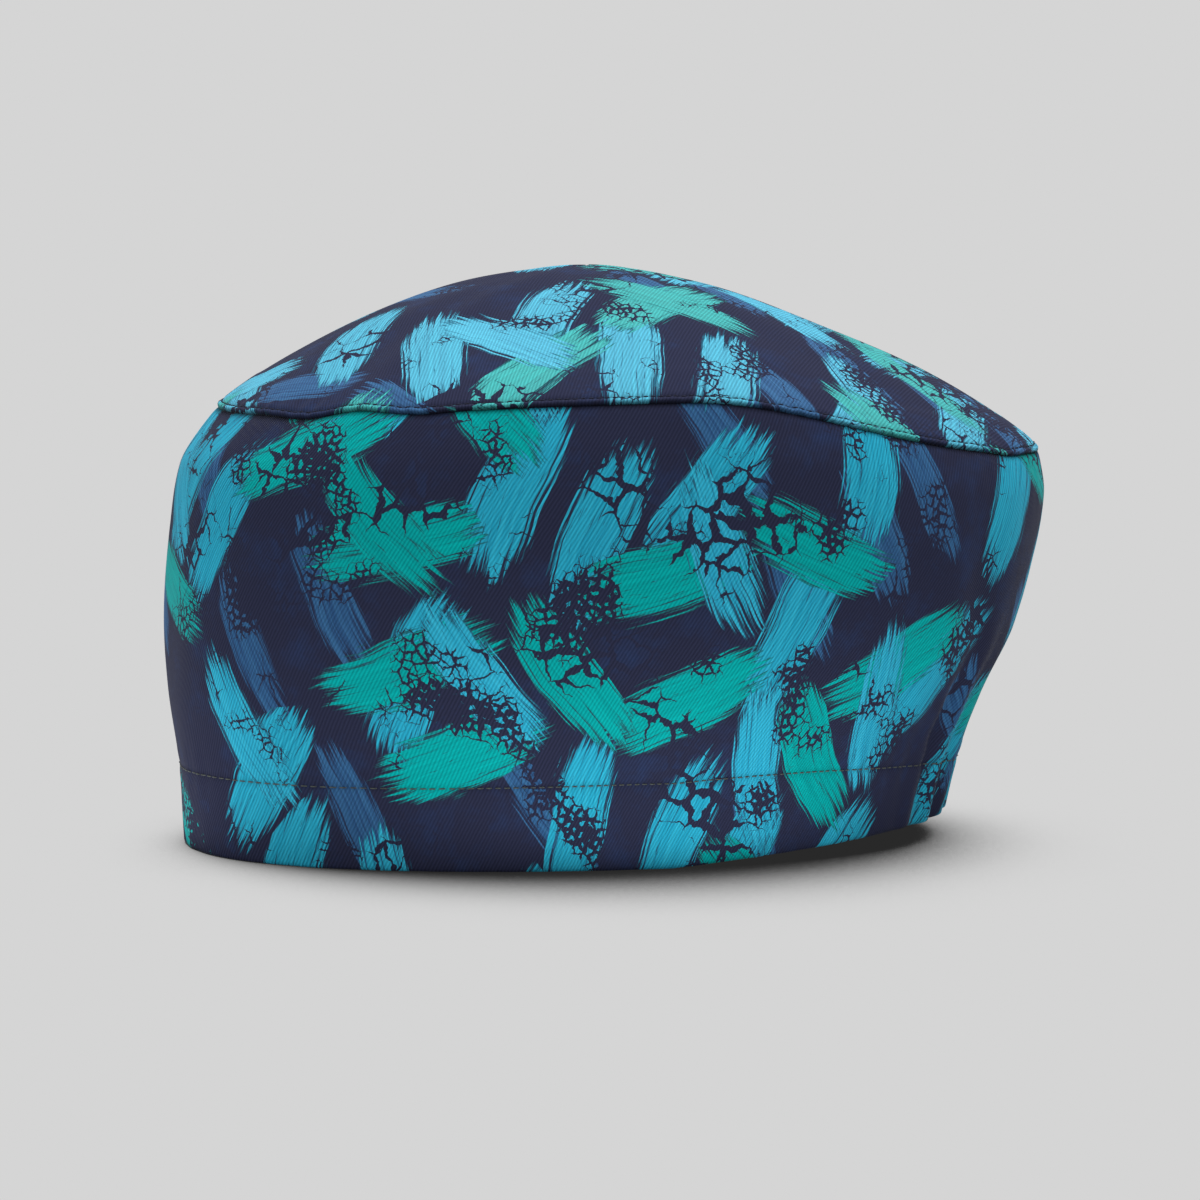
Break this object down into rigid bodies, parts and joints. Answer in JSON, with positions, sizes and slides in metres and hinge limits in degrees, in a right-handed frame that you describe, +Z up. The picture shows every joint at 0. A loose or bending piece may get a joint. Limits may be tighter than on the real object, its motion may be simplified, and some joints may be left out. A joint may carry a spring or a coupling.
{
  "type": "scrub cap",
  "caption": "Cloth scrub cap with a dome crown, a tall side band and a stitched hem that is gathered at the back.",
  "frame": {"origin": "on the surface that the cap stands on, under the middle of its box", "axes": "+X to the back of the cap, -Y to the wearer's left, +Z up through the crown"},
  "size_m": [0.225, 0.1718, 0.145],
  "materials": {
    "printed_twill": "printed cotton and polyester twill, brush marks in green and blue on navy",
    "elastic": "flat woven white elastic"
  },
  "bodies": {
    "root": {"crown": "printed_twill", "side_band": "printed_twill", "hem_casing": "printed_twill", "back_elastic": "elastic"}
  },
  "joints": []
}
